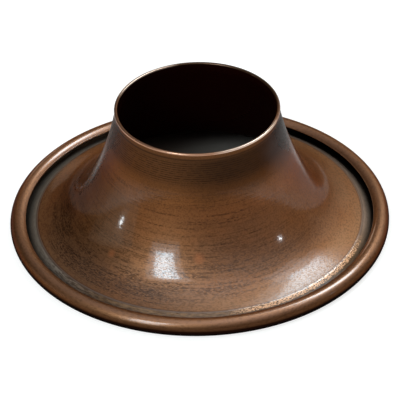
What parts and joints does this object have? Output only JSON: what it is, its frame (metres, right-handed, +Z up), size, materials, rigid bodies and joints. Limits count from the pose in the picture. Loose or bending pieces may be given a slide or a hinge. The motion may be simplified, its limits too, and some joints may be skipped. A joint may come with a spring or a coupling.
{
  "type": "tea funnel",
  "caption": "Spun copper tea funnel with a short collar at its mouth, a trumpet-flared skirt and a rolled hollow rim that it stands on.",
  "frame": {"origin": "centre of the circle on which the rolled rim rests", "axes": "+Z up along the axis of the funnel, from the rolled rim to the mouth; +X and +Y are any two directions across it"},
  "size_m": [0.096, 0.096, 0.0357],
  "materials": {
    "copper": "gloss"
  },
  "bodies": {
    "root": {"funnel": "copper"}
  },
  "joints": []
}
